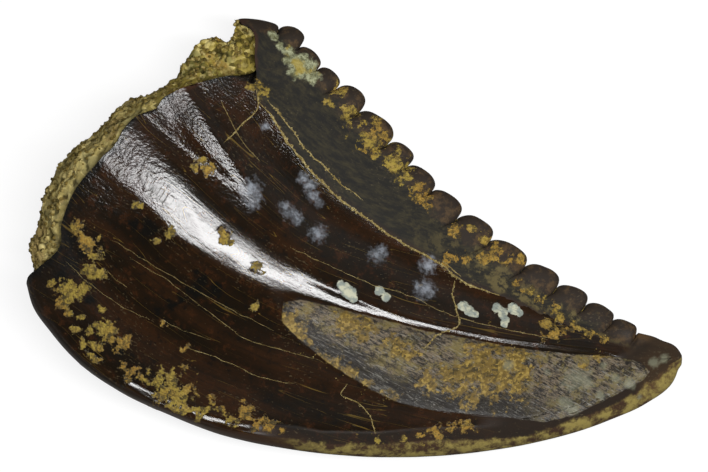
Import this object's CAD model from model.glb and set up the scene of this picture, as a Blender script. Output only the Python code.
# %% [markdown]
# # A dinosaur tooth on its side
# This lesson builds the looks of a small hunting dinosaur's tooth, about 10 mm long: dark glossy enamel,
# a worn flat on one side, hooked denticles along the back edge, and yellow sandstone in the broken hollow
# base. The solid model of the tooth is already made. We load it first, because everything here has to sit
# in its place and inside its size. Lengths in this file are in millimetres, and Blender's are in metres,
# so `MM` turns one into the other.

# %% Load the solid tooth
import math

import bmesh
import bpy
import numpy as np
from mathutils import Matrix, Vector, noise
from mathutils.bvhtree import BVHTree


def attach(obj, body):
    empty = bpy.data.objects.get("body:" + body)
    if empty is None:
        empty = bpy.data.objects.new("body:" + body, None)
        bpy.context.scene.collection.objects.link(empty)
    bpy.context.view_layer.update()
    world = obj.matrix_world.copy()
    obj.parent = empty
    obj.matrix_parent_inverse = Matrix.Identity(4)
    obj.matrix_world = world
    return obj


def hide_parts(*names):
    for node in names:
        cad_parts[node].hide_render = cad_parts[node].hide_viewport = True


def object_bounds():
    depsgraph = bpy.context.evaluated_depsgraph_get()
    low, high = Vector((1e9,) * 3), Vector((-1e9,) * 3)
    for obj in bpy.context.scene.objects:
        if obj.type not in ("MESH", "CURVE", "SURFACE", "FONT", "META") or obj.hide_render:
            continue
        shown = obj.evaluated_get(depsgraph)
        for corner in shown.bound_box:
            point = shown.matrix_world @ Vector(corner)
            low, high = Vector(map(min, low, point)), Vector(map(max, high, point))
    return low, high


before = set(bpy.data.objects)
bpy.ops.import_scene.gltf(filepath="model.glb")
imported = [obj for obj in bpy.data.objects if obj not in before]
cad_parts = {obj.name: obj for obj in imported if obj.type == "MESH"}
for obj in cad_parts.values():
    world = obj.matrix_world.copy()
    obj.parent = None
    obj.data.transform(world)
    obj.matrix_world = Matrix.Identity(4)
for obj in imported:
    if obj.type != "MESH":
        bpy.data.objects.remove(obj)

MM = 0.001
NOISE_SEED = 1  # without a seed of its own, each run would get other noise vectors, and so another rock
noise.seed_set(NOISE_SEED)
solid_low, solid_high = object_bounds()
print("solid tooth, mm:", [round(size / MM, 2) for size in solid_high - solid_low])

# %% [markdown]
# ## The camera comes first
# The tooth was photographed from straight above, lens far away, so lines that are parallel stay nearly
# parallel. A very long lens does the same. We make it first because every mark below was measured in the
# picture: a mark's place is given on a level plane one millimetre above the table, and `seen_at` says
# where on that plane the camera sees any other point.

# %% Camera
PICTURE_WIDTH = 10.768
LENS, SENSOR = 300.0, 36.0
MARK_PLANE = 1.0
CAMERA = np.array((-0.011, 0.019, MARK_PLANE + PICTURE_WIDTH * LENS / SENSOR))


def placed(name, data):
    """A new object in the scene, for a mesh, a light or a camera."""
    made = bpy.data.objects.new(name, data)
    bpy.context.scene.collection.objects.link(made)
    return made


def seen_at(points):
    """Where on the plane of the marks the camera sees these points."""
    toward = points - CAMERA
    return CAMERA[:2] + toward[..., :2] * ((MARK_PLANE - CAMERA[2]) / toward[..., 2:])


camera = placed("camera", bpy.data.cameras.new("camera"))
camera.data.lens, camera.data.sensor_width = LENS, SENSOR
camera.data.clip_start, camera.data.clip_end = 0.01, 1.0
camera.location = Vector(CAMERA) * MM
bpy.context.scene.camera = camera
print("camera height, mm:", round(float(CAMERA[2]), 1))

# %% [markdown]
# ## The growth of a tooth
# A tooth grows in layers, so its form follows lines that run from base to tip. We keep that idea: `u` is
# the share of the way from base to tip, and `v` the share of the way across, from the smooth front edge
# to the back edge. A handful of growth lines carry the heights, and a smooth curve fills the space
# between them. A sculpted mesh would also work, but with growth lines one number moves a whole ridge.

# %% Smooth curves
def curve(knots, values, at):
    """A smooth curve through the values: a cubic between knots, its slope at a knot set by the neighbours."""
    at = np.asarray(at, float)
    knots, values = np.broadcast_arrays(np.asarray(knots, float), np.asarray(values, float))
    if knots.ndim == 1:
        knots, values = (np.broadcast_to(table, at.shape + table.shape) for table in (knots, values))
    gap = np.diff(knots)
    rise = np.diff(values) / gap
    inner = (gap[..., :-1] * rise[..., 1:] + gap[..., 1:] * rise[..., :-1]) / (gap[..., :-1] + gap[..., 1:])
    slope = np.concatenate([rise[..., :1], inner, rise[..., -1:]], axis=-1)
    at = np.clip(at, knots[..., 0], knots[..., -1])
    i = np.clip((knots < at[..., None]).sum(-1) - 1, 0, knots.shape[-1] - 2)[..., None]

    def pick(table, place):
        return np.take_along_axis(table, place, -1)[..., 0]

    step = pick(gap, i)
    t = (at - pick(knots, i)) / step
    ends = pick(values, i) * (1 + 2 * t) * (1 - t) ** 2 + pick(values, i + 1) * t * t * (3 - 2 * t)
    return ends + step * (pick(slope, i) * t * (1 - t) ** 2 + pick(slope, i + 1) * t * t * (t - 1))


def curves(knots, points, at):
    """The same for each column of a table of points."""
    return np.stack([curve(knots, column, at) for column in np.array(points).T], axis=-1)


def lengths_along(points):
    """How far along a line each of its points lies."""
    return np.concatenate([[0.0], np.cumsum(np.linalg.norm(np.diff(np.array(points), axis=0), axis=1))])


def length_of(points):
    return float(np.linalg.norm(np.diff(np.array(points), axis=0), axis=1).sum())


def on_path(points, share):
    """The point at this share of the way along a smooth line through the points."""
    return curves(lengths_along(points) / length_of(points), points, share)


def smooth_step(low, high, x):
    t = np.clip((x - low) / (high - low), 0.0, 1.0)
    return t * t * (3 - 2 * t)


# %% [markdown]
# ## The outline and the growth lines
# These tables are the tooth's own measures. The outline is seen from above. The rim is where the crown
# broke off at its base, and the sandstone stands out from under it. Each growth line has its place `v`
# and its height at six stations on the way to the tip.

# %% Measures of the tooth
# The outline seen from above, from the base to the tip. The back edge is the line through the notches.
FRONT_EDGE = (
    (-4.98, -0.71), (-4.88, -1.06), (-4.60, -1.46), (-4.18, -1.92), (-3.60, -2.33),
    (-2.89, -2.67), (-1.97, -3.02), (-0.83, -3.25), (0.48, -3.35), (1.69, -3.30),
    (2.91, -3.10), (3.84, -2.82), (4.46, -2.54), (4.85, -2.24), (5.00, -1.86),
)
BACK_EDGE = (
    (-1.75, 3.33), (-1.12, 3.17), (-0.54, 2.57), (0.03, 1.89), (0.79, 1.10), (1.54, 0.32),
    (2.54, -0.44), (3.50, -1.00), (4.28, -1.46), (4.64, -1.57), (4.90, -1.70), (5.00, -1.86),
)

# The broken rim of the crown, from the front edge to the back edge, which ends in a spur
RIM_V = (
    0.0, 0.02, 0.05, 0.10, 0.20, 0.30, 0.40, 0.455, 0.475, 0.50,
    0.56, 0.575, 0.61, 0.70, 0.78, 0.84, 0.90, 0.955, 0.98, 1.0,
)
RIM = (
    (-4.98, -0.71), (-4.94, -0.60), (-4.78, -0.46), (-4.50, -0.22), (-4.40, 0.23), (-4.18, 0.73),
    (-3.76, 1.22), (-3.56, 1.44), (-3.46, 1.62), (-3.30, 1.80), (-2.98, 1.92), (-2.90, 2.05), (-2.75, 2.16),
    (-2.20, 2.36), (-1.78, 2.43), (-1.50, 2.32), (-1.51, 2.72), (-1.55, 3.12), (-1.70, 3.25), (-1.75, 3.33),
)
RIM_FADE = 0.35  # the share of the tooth's length over which the growth lines forget the rim's shape

# The outer limit of the sandstone, from the front edge to the back edge
SAND_LIMIT = (
    (-4.83, -0.46), (-4.86, -0.24), (-4.77, 0.13), (-4.72, 0.50), (-4.59, 0.96), (-4.24, 1.35),
    (-3.89, 1.55), (-3.42, 2.03), (-3.12, 2.13), (-2.78, 2.33), (-2.51, 2.74), (-2.24, 2.99),
    (-1.95, 2.95), (-1.81, 3.01), (-1.76, 3.21),
)

# Denticles on the back edge, from the base: width along the edge, and height above the line of notches
DENTICLES = (
    (0.63, 0.03), (0.42, 0.15), (0.42, 0.085), (0.41, 0.12), (0.49, 0.24), (0.66, 0.22),
    (0.45, 0.18), (0.53, 0.14), (0.57, 0.18), (0.60, 0.20), (0.67, 0.19), (0.59, 0.175),
    (0.52, 0.135), (0.47, 0.12), (0.42, 0.095),
)
DENTICLE_LEAN = 0.13  # how far a denticle's top leans to the tip, as a share of its width
DENTICLE_RISE = 0.9  # a higher power makes a straighter back
DENTICLE_FALL = 0.5  # a lower power makes a blunter nose
DENTICLE_ROOT = 0.42  # how far in from the line of notches a denticle starts
GROOVE_DEPTH = 0.66  # share of the thickness lost in the groove between two denticles
GROOVE_SWEEP = 0.028  # how far a groove runs back to the base on its way in, as a share of the length
SWEEP_FADE = 0.1  # the share of the length at each end over which that is less

# Half sections: each growth line's places v, and its heights above the edges, at these shares of the length
STATIONS = (0.0, 0.15, 0.33, 0.50, 0.70, 0.90)
UPPER_LINES = {
    "keel": ((0.020, 0.012, 0.022, 0.055, 0.085, 0.20), (0.34, 0.34, 0.32, 0.29, 0.24, 0.16)),
    "channel": ((0.050, 0.045, 0.055, 0.100, 0.150, 0.30), (0.44, 0.42, 0.38, 0.32, 0.26, 0.17)),
    "front face": ((0.22, 0.23, 0.24, 0.26, 0.32, 0.48), (0.93, 0.90, 0.82, 0.62, 0.45, 0.26)),
    "crest": ((0.435, 0.50, 0.515, 0.555, 0.61, 0.68), (1.245, 1.27, 1.20, 0.98, 0.70, 0.33)),
    "dip": ((0.53, 0.575, 0.585, 0.62, 0.67, 0.73), (1.15, 1.15, 1.09, 0.81, 0.56, 0.28)),
    "second ridge": ((0.61, 0.635, 0.645, 0.68, 0.72, 0.77), (1.09, 1.075, 0.89, 0.66, 0.46, 0.24)),
    "hollow": ((0.72, 0.71, 0.71, 0.74, 0.77, 0.82), (0.86, 0.76, 0.62, 0.48, 0.34, 0.19)),
    "flange": ((0.84, 0.83, 0.83, 0.83, 0.84, 0.87), (0.53, 0.49, 0.44, 0.36, 0.25, 0.14)),
    "denticle roots": ((0.93, 0.93, 0.93, 0.92, 0.91, 0.93), (0.31, 0.30, 0.28, 0.24, 0.17, 0.10)),
}
LOWER_LINES = {
    "front": ((0.05, 0.05, 0.055, 0.08, 0.12, 0.22), (0.48, 0.47, 0.45, 0.40, 0.30, 0.18)),
    "front of belly": ((0.26, 0.26, 0.27, 0.29, 0.33, 0.42), (1.10, 1.08, 1.02, 0.90, 0.66, 0.36)),
    "belly": ((0.50, 0.50, 0.50, 0.51, 0.53, 0.58), (1.23, 1.20, 1.12, 0.98, 0.74, 0.40)),
    "back of belly": ((0.72, 0.72, 0.72, 0.73, 0.75, 0.78), (0.96, 0.93, 0.86, 0.76, 0.55, 0.28)),
    "flange": ((0.85, 0.85, 0.85, 0.85, 0.86, 0.88), (0.58, 0.55, 0.50, 0.42, 0.31, 0.17)),
    "denticle roots": ((0.93, 0.93, 0.93, 0.92, 0.92, 0.94), (0.31, 0.30, 0.28, 0.24, 0.17, 0.10)),
}
TWO_SIDES = (UPPER_LINES, LOWER_LINES)
EDGE_LIFT = (1.18, 1.15, 1.07, 0.94, 0.72, 0.50)  # height of both edges above the table
ROUND_TIP = 0.92  # from here on the section shrinks to the blunt tip

# The wear facet cuts the crest's front side flat, from this lower limit up to the crest
FACET_U = (0.0, 0.18, 0.28, 0.31, 0.35, 0.40, 0.47, 0.55, 0.62, 0.70, 0.78, 0.86, 0.92, 0.97)
FACET_LOW_V = (0.24, 0.30, 0.43, 0.43, 0.38, 0.34, 0.295, 0.24, 0.215, 0.195, 0.16, 0.23, 0.37, 0.66)
FACET_START = 0.29
FACET_FULL = 0.38  # from here on it has its whole depth
FACET_SAG = 0.04

# The hollow base and the sandstone in it
WALL = 0.14
SAND_GAP = 0.02
HOLLOW_V = (0.04, 0.955)
HOLLOW_U = 0.075
END_ANGLE = math.radians(40)  # the hollow's two ends are rounded over this much of the half section
SAND_LUMP = 0.10
SAND_GRIT = 0.06
LUMPS_PER_MM = 1.6
GRIT_PER_MM = 4.5
CALM_LUMP = 0.4  # the share of the way out from the rim over which the lumps grow to their full size
WELD = 1e-7

# %% [markdown]
# ## From (u, v) to a point
# These functions say where the tooth's surface is. Denticles are a wave along the back edge, each leaning
# to the tip, with a groove that runs in from every notch. The wear facet is a cut: between its lower
# limit and the crest the surface drops to a straight chord. NumPy works on all points at once, which
# keeps this fast.

# %% The surface of the tooth
EDGE_LENGTH = length_of(BACK_EDGE)


def rows_of_the_crown(per_denticle, tip_rows):
    """For each row across the tooth: u, the shift that makes a denticle, and how deep the groove is there."""
    rows, start = [], 0.0
    for width, height in DENTICLES:
        near, far = on_path(BACK_EDGE, start / EDGE_LENGTH), on_path(BACK_EDGE, (start + width) / EDGE_LENGTH)
        chord = far - near
        outward = np.array((-chord[1], chord[0])) / np.linalg.norm(chord)
        for step in range(per_denticle):
            phase = math.pi * step / per_denticle
            u = (start + width * (1 - math.cos(phase)) / 2) / EDGE_LENGTH
            along = (1 - math.cos(phase)) / 2 + DENTICLE_LEAN * (1 - math.cos(2 * phase)) / 2
            power = DENTICLE_RISE if phase < math.pi / 2 else DENTICLE_FALL
            outline = near + chord * along + outward * height * math.sin(phase) ** power
            rows.append((u, *(outline - on_path(BACK_EDGE, u)), 1 - math.sin(phase) if u > 0 else 0.0))
        start += width
    for step in range(tip_rows + 1):
        u = (start + (EDGE_LENGTH - start) * math.sin(math.pi / 2 * step / tip_rows)) / EDGE_LENGTH
        rows.append((u, 0.0, 0.0, 1.0 if step == 0 else 0.0))
    return np.array(rows)


def width_at(u):
    return np.linalg.norm(on_path(BACK_EDGE, u) - on_path(FRONT_EDGE, u), axis=-1)


def near_back_edge(u, v):
    """0 further in than the denticles' roots, rising to 1 on the line of notches."""
    return 1 - smooth_step(0.0, DENTICLE_ROOT, (1 - v) * width_at(u))


def swept(u, v):
    """Rows run back to the base on their way in from the back edge, but not at the rim or the tip."""
    fade = np.minimum(np.minimum(u, 1 - u) / SWEEP_FADE, 1.0)
    return u - GROOVE_SWEEP * fade * (1 - near_back_edge(u, v))


def plan(u, v, shift=0.0):
    """Where u and v lie, seen from above."""
    front, back = on_path(FRONT_EDGE, u), on_path(BACK_EDGE, u)
    base_front, base_back = np.array(FRONT_EDGE[0]), np.array(BACK_EDGE[0])
    rim_shift = curves(RIM_V, RIM, v) - (base_front + (base_back - base_front) * v[..., None])
    fade = np.maximum(1 - u / RIM_FADE, 0.0) ** 2
    plain = front + (back - front) * v[..., None] + rim_shift * fade[..., None]
    return plain + shift * near_back_edge(u, v)[..., None] ** 2


def line_at(lines, name, u):
    """The place v and the height of a growth line."""
    places, heights = lines[name]
    return curve(STATIONS, places, u), curve(STATIONS, heights, u)


def half_height(lines, u, v, groove=0.0):
    """The height of the upper or lower half above the plane of the two edges."""
    u, v = np.broadcast_arrays(u, v)
    knots = [(np.zeros(u.shape), np.zeros(u.shape)), *(line_at(lines, name, u) for name in lines),
             (np.ones(u.shape), np.zeros(u.shape))]
    angles = np.arccos(1 - 2 * np.clip(np.stack([place for place, _ in knots], axis=-1), 0.0, 1.0))
    height = curve(angles, np.stack([height for _, height in knots], axis=-1), np.arccos(1 - 2 * v))
    nose = np.maximum(u - ROUND_TIP, 0.0) / (1 - ROUND_TIP)
    grooved = 1 - GROOVE_DEPTH * groove * near_back_edge(u, v) ** 2
    return height * np.sqrt(np.maximum(1 - nose**2, 0.0)) * grooved


def facet_limits(u):
    return curve(FACET_U, FACET_LOW_V, u), line_at(UPPER_LINES, "crest", u)[0]


def upper_height(u, v, groove=0.0):
    """The upper half, with the wear facet cut into it."""
    height = half_height(UPPER_LINES, u, v, groove)
    low, high = facet_limits(u)
    t = np.clip((v - low) / (high - low), 0.0, 1.0)
    chord = (1 - t) * half_height(UPPER_LINES, u, low) + t * half_height(UPPER_LINES, u, high)
    cut = np.minimum(chord - FACET_SAG * np.sin(math.pi * t) - height, 0.0)
    inside = (u > FACET_START) & (u < FACET_U[-1]) & (low < v) & (v < high)
    return height + np.where(inside, cut * smooth_step(FACET_START, FACET_FULL, u), 0.0)


def edge_lift(u):
    return curve(STATIONS, EDGE_LIFT, u)


# %% [markdown]
# ## A dense skin for the crown
# The crown is a loft: rings of points across the tooth, joined row by row. The rings turn their corner at
# the facet's limits and at the crest, so those edges stay crisp. Rows crowd together in the denticles'
# notches. The mesh is fine enough for the wear and the growth marks to be real shape, not only shading.

# %% Rings of the crown
UPPER_STEPS = (16, 9, 22, 34, 10, 12, 20, 12, 10, 16)
LOWER_STEPS = (10, 10, 14, 14, 10, 10, 12)
ROWS_PER_DENTICLE, TIP_ROWS, HOLLOW_ROWS = 22, 36, 6


def places_between(anchors, steps):
    """The places v of a half section's points: the anchors, with evenly turned steps between them."""
    angles = np.arccos(1 - 2 * np.clip(np.stack(anchors, axis=-1), 0.0, 1.0))
    parts = [angles[..., :1]]
    for i, count in enumerate(steps):
        turn = np.arange(1, count + 1) / count
        parts.append(angles[..., i:i + 1] * (1 - turn) + angles[..., i + 1:i + 2] * turn)
    return (1 - np.cos(np.concatenate(parts, axis=-1))) / 2


def crown_rings():
    """Points, u, v and groove of every ring: over the top from front to back, then back underneath."""
    table = rows_of_the_crown(ROWS_PER_DENTICLE, TIP_ROWS)
    row, shift, groove = table[:, :1], table[:, None, 1:3], table[:, 3:]
    inner = swept(row[:, 0], np.full(len(row), 0.5))
    zero, one = np.zeros(len(row)), np.ones(len(row))
    above, below = ([line_at(lines, name, inner)[0] for name in lines] for lines in TWO_SIDES)
    above[list(UPPER_LINES).index("front face")] = facet_limits(inner)[0]
    upper = places_between([zero, *above, one], UPPER_STEPS)
    lower = places_between([zero, *below, one], LOWER_STEPS)[:, -2:0:-1]
    halves = []
    for v, is_upper in ((upper, True), (lower, False)):
        u = swept(np.broadcast_to(row, v.shape), v)
        place = plan(u, v, shift)
        if is_upper:
            z = edge_lift(u) + upper_height(u, v, groove)
        else:
            z = np.maximum(edge_lift(u) - half_height(LOWER_LINES, u, v, groove), 0.0)
        halves.append((np.dstack([place, z]), u, v, np.broadcast_to(groove, v.shape)))
    return [np.concatenate(pair, axis=1) for pair in zip(*halves)], upper.shape[1]


def hollow_rings(us, inset, upper_steps, lower_steps, outwards, reach=HOLLOW_V):
    """Sections inset from the crown's own. Outwards carries one from the rim to the sandstone's limit."""
    us, outwards = np.asarray(us, float)[:, None], np.asarray(outwards, float)[:, None]
    halves = []
    for lines, steps, sign in ((UPPER_LINES, upper_steps, 1), (LOWER_LINES, lower_steps, -1)):
        angle = np.broadcast_to(math.pi * np.arange(steps + 1) / steps, (len(us), steps + 1))
        share = (1 - np.cos(angle)) / 2
        v = reach[0] + (reach[1] - reach[0]) * share
        u = np.broadcast_to(us, v.shape)
        far = on_path(SAND_LIMIT, share)
        place = plan(u, v) * (1 - outwards[..., None]) + far * outwards[..., None]
        rounded = np.sqrt(np.minimum(np.sin(angle) / math.sin(END_ANGLE), 1.0).clip(0.0))
        height = np.maximum((half_height(lines, u, v) - inset) * rounded * np.sqrt(1 - outwards**2), 0.0)
        half = np.dstack([place, edge_lift(us) + sign * height])
        halves.append(half if sign > 0 else half[:, -2:0:-1])
    return np.concatenate(halves, axis=1)


(outside, crown_u, crown_v, crown_groove), upper_count = crown_rings()
depths = HOLLOW_U * (1 - np.arange(HOLLOW_ROWS + 1) / HOLLOW_ROWS)
lower_steps = outside.shape[1] - upper_count + 1
inside = hollow_rings(depths, WALL, upper_count - 1, lower_steps, np.zeros(len(depths)))
print("crown rings:", inside.shape, "inside,", outside.shape, "outside")

# %% [markdown]
# ## Joining rings into one closed mesh
# Every ring has the same number of points, so four neighbours make a face. The first ring is closed with
# a fan of triangles, and the last one has shrunk to a point or a line, so merging points that coincide
# closes it. Numbers that belong to a point, such as its u and v, travel with it as attributes: materials
# can read them.

# %% Mesh from rings
def mesh_from_rings(name, rings, facts):
    rows, count = rings.shape[:2]
    points = np.vstack([rings.reshape(-1, 3), rings[0].mean(0)])
    ring, after = np.arange(count), (np.arange(count) + 1) % count
    first = count * np.arange(rows - 1)[:, None]
    quads = np.dstack([first + ring, first + after, first + count + after, first + count + ring])
    fan = np.stack([after, ring, np.full(count, rows * count)], axis=1)
    mesh = bpy.data.meshes.new(name)
    mesh.from_pydata((points * MM).tolist(), [], quads.reshape(-1, 4).tolist() + fan.tolist())
    for fact, values in facts.items():
        store(mesh, fact, np.append(np.ravel(values), np.ravel(values)[0]))
    working = bmesh.new()
    working.from_mesh(mesh)
    bmesh.ops.remove_doubles(working, verts=working.verts, dist=WELD)
    bmesh.ops.recalc_face_normals(working, faces=working.faces)
    working.to_mesh(mesh)
    working.free()
    mesh.shade_smooth()
    return mesh


def store(mesh, fact, values):
    """Keeps one number for each point of the mesh, as an attribute that a material can read."""
    attribute = mesh.attributes.get(fact) or mesh.attributes.new(fact, "FLOAT", "POINT")
    attribute.data.foreach_set("value", np.ascontiguousarray(values, np.float32))


def read(mesh, fact):
    values = np.zeros(len(mesh.vertices), np.float32)
    mesh.attributes[fact].data.foreach_get("value", values)
    return values.astype(float)


def points_of(mesh):
    """The mesh's points, in millimetres."""
    places = np.zeros(len(mesh.vertices) * 3)
    mesh.vertices.foreach_get("co", places)
    return places.reshape(-1, 3) / MM


def normals_of(mesh):
    normals = np.zeros(len(mesh.vertices) * 3, np.float32)
    mesh.vertex_normals.foreach_get("vector", normals)
    return normals.reshape(-1, 3).astype(float)


def move_points(mesh, places):
    """Puts the points at these places, none of them outside the solid tooth's own box."""
    kept = np.clip(places * MM, np.array(solid_low), np.array(solid_high))
    mesh.vertices.foreach_set("co", kept.ravel())
    mesh.update()


inside = inside[:-1]
is_top = np.zeros(outside.shape[:2])
is_top[:, :upper_count] = 1.0
crown_facts = {"u": crown_u, "v": crown_v, "groove": crown_groove, "top": is_top,
               "hollow": np.zeros_like(is_top)}
crown_mesh = mesh_from_rings("enamel_crown", np.concatenate([inside, outside]), {
    fact: np.concatenate([np.full(inside.shape[:2], float(fact == "hollow")), values])
    for fact, values in crown_facts.items()
})
print("crown points:", len(crown_mesh.vertices), "faces:", len(crown_mesh.polygons))

# %% [markdown]
# ## Where the marks are
# A fossil is known by its marks: crusts of yellow sediment, opaque pale spots, hazy blue ones, the worn
# facet. Each table below lists round blobs as (x, y, radius) on the plane of the marks, and several blobs
# that touch make one patch. Materials roughen the patches' edges later, so a few blobs are enough.

# %% Tables of marks
OCHRE = (
    (-1.50, 2.29, 0.09), (-1.41, 2.19, 0.08), (-0.25, 2.21, 0.09), (-0.09, 1.86, 0.11),
    (-0.38, 2.03, 0.06), (0.26, 1.54, 0.18), (0.41, 1.48, 0.14), (0.29, 1.36, 0.11), (0.57, 1.17, 0.12),
    (0.69, 1.05, 0.14), (0.81, 0.93, 0.09), (1.05, 0.63, 0.11), (1.11, 0.49, 0.06), (0.87, 0.75, 0.06),
    (1.52, 0.11, 0.08), (1.75, 0.16, 0.06), (2.01, -0.04, 0.08), (2.16, -0.19, 0.08), (2.09, -0.30, 0.09),
    (1.90, -0.32, 0.08), (1.71, -0.32, 0.06), (1.48, -0.32, 0.08), (1.39, -0.38, 0.06),
    (2.29, -0.38, 0.06), (2.51, -0.32, 0.08), (2.50, -0.73, 0.08), (2.67, -0.80, 0.06),
    (2.82, -0.95, 0.06), (3.02, -1.11, 0.08), (3.12, -1.23, 0.08), (2.92, -1.29, 0.08),
    (3.35, -1.37, 0.08), (3.58, -1.46, 0.06), (3.81, -1.53, 0.06), (3.06, -1.44, 0.09),
    (2.89, -1.52, 0.06), (-2.78, -2.29, 0.21), (-2.96, -2.17, 0.11), (-2.57, -2.35, 0.12),
    (-2.69, -2.48, 0.11), (-2.13, -2.51, 0.09), (-2.02, -2.60, 0.06), (-3.39, -2.06, 0.09),
    (-3.51, -1.96, 0.06), (-3.78, -1.43, 0.14), (-3.69, -1.56, 0.08), (-3.90, -1.67, 0.06),
    (-4.22, 0.14, 0.08), (-4.12, -0.01, 0.11), (-4.00, -0.09, 0.09), (-3.94, -0.27, 0.09),
    (-4.03, -0.47, 0.09), (-3.90, -0.57, 0.08), (-4.45, -0.77, 0.11), (-4.30, -0.86, 0.12),
    (-4.15, -0.80, 0.09), (-4.48, -0.65, 0.06), (-2.92, -1.30, 0.05), (-2.58, -1.68, 0.06),
    (-1.67, -2.66, 0.11), (-1.29, -2.86, 0.08), (-1.53, -1.05, 0.06), (-3.01, -0.07, 0.05),
    (-3.31, 0.48, 0.06), (-1.97, 0.00, 0.09), (-2.02, 0.10, 0.06), (-1.50, -0.47, 0.08),
    (-2.34, 1.13, 0.09), (-2.23, 1.02, 0.08), (-2.43, 1.02, 0.06), (-2.81, 0.08, 0.08),
    (1.25, -2.96, 0.08), (1.42, -2.93, 0.06), (1.69, -2.86, 0.09), (1.81, -2.90, 0.06), (0.99, -3.04, 0.06),
    (0.76, -3.08, 0.06), (0.38, -3.10, 0.06), (-3.95, -1.87, 0.08), (-4.13, -1.64, 0.08),
    (-4.06, -1.41, 0.06), (-4.25, -1.41, 0.06), (-3.57, -1.64, 0.08), (-3.45, -1.53, 0.06),
    (-4.45, -1.03, 0.08), (-4.36, -1.14, 0.06), (-4.60, -0.73, 0.06), (-3.87, -1.11, 0.05),
    (-4.13, -1.23, 0.05), (-3.22, -2.14, 0.06), (-3.11, -2.05, 0.05), (-1.82, -2.78, 0.08),
    (-1.52, -2.86, 0.06), (-1.41, -2.78, 0.06), (-1.09, -2.93, 0.06), (-2.28, -2.63, 0.06),
    (-2.38, -2.75, 0.05), (-2.51, -2.63, 0.06),
)
FACET_OCHRE = (
    (-0.60, -1.82, 0.15), (-0.41, -1.97, 0.16), (-0.15, -2.17, 0.13), (0.11, -2.32, 0.13), (0.51, -2.46, 0.12),
    (2.21, -1.96, 0.40), (1.90, -2.05, 0.30), (1.52, -2.14, 0.21), (2.44, -1.79, 0.21),
    (1.14, -2.17, 0.15), (0.84, -1.75, 0.11), (0.61, -1.64, 0.12), (0.16, -1.41, 0.15),
    (-0.15, -1.29, 0.15), (-0.95, -1.33, 0.20), (-0.83, -1.64, 0.14), (2.51, -2.14, 0.18),
    (3.73, -1.76, 0.12), (1.75, -2.48, 0.12), (-0.07, -2.05, 0.09), (3.50, -1.94, 0.08),
)
PALE_SPOTS = (
    (-0.16, -0.76, 0.08), (-0.07, -0.85, 0.11), (-0.01, -0.94, 0.06), (-0.22, -0.71, 0.06),
    (0.38, -0.82, 0.08), (0.48, -0.91, 0.07), (1.65, -1.05, 0.08), (1.74, -1.12, 0.08),
    (1.83, -1.17, 0.06), (2.16, -1.08, 0.08), (2.25, -1.15, 0.08), (2.30, -1.26, 0.06),
    (2.27, -1.32, 0.06), (2.41, -1.09, 0.09), (2.50, -1.15, 0.06),
)
STAR = (
    (-1.14, 2.92, 0.06), (-1.00, 2.82, 0.09), (-0.89, 2.67, 0.12), (-0.74, 2.57, 0.14),
    (-0.65, 2.45, 0.11), (-0.89, 2.51, 0.11), (-1.02, 2.70, 0.08), (-0.79, 2.70, 0.09),
    (-1.26, 3.08, 0.06), (-1.20, 3.03, 0.05),
)
HAZE = (
    (-0.79, 0.90, 0.08), (-0.68, 0.78, 0.09), (-0.62, 0.63, 0.08), (-0.53, 0.52, 0.06),
    (-1.06, 0.46, 0.08), (-0.97, 0.37, 0.09), (-0.88, 0.28, 0.08), (-0.56, 0.06, 0.11),
    (-0.50, 0.11, 0.06), (-1.37, 1.68, 0.06), (-1.59, 0.72, 0.14), (-1.56, 0.57, 0.12),
    (0.35, -0.27, 0.11), (0.43, -0.18, 0.06), (1.11, -0.42, 0.11), (1.17, -0.35, 0.06),
    (1.07, -0.80, 0.12), (0.96, -0.74, 0.06), (1.14, -0.86, 0.08),
)
TIP_SMEARS = (
    (3.38, -2.16, 0.17), (3.55, -2.23, 0.09), (3.21, -2.54, 0.11), (3.32, -2.63, 0.08), (3.97, -2.16, 0.08),
    (4.19, -2.22, 0.08), (4.55, -1.90, 0.07), (4.70, -1.85, 0.06), (4.34, -2.43, 0.05), (2.92, -2.05, 0.06),
    (3.73, -2.41, 0.06), (2.35, -1.94, 0.08), (3.79, -1.96, 0.06),
)
DARK_STAINS = (
    (-2.96, -1.14, 0.08), (-2.80, -1.03, 0.08), (-2.66, -0.95, 0.07), (-4.39, -0.04, 0.14),
    (-4.33, -0.38, 0.15), (-4.45, -0.57, 0.11), (-4.18, -0.27, 0.09),
    (-3.14, 0.14, 0.12), (-3.34, 0.19, 0.08), (-2.35, -0.70, 0.15), (-2.13, -0.80, 0.12),
    (-2.43, -0.80, 0.12), (-3.57, -1.71, 0.08), (-4.03, -0.95, 0.08),
)

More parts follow.
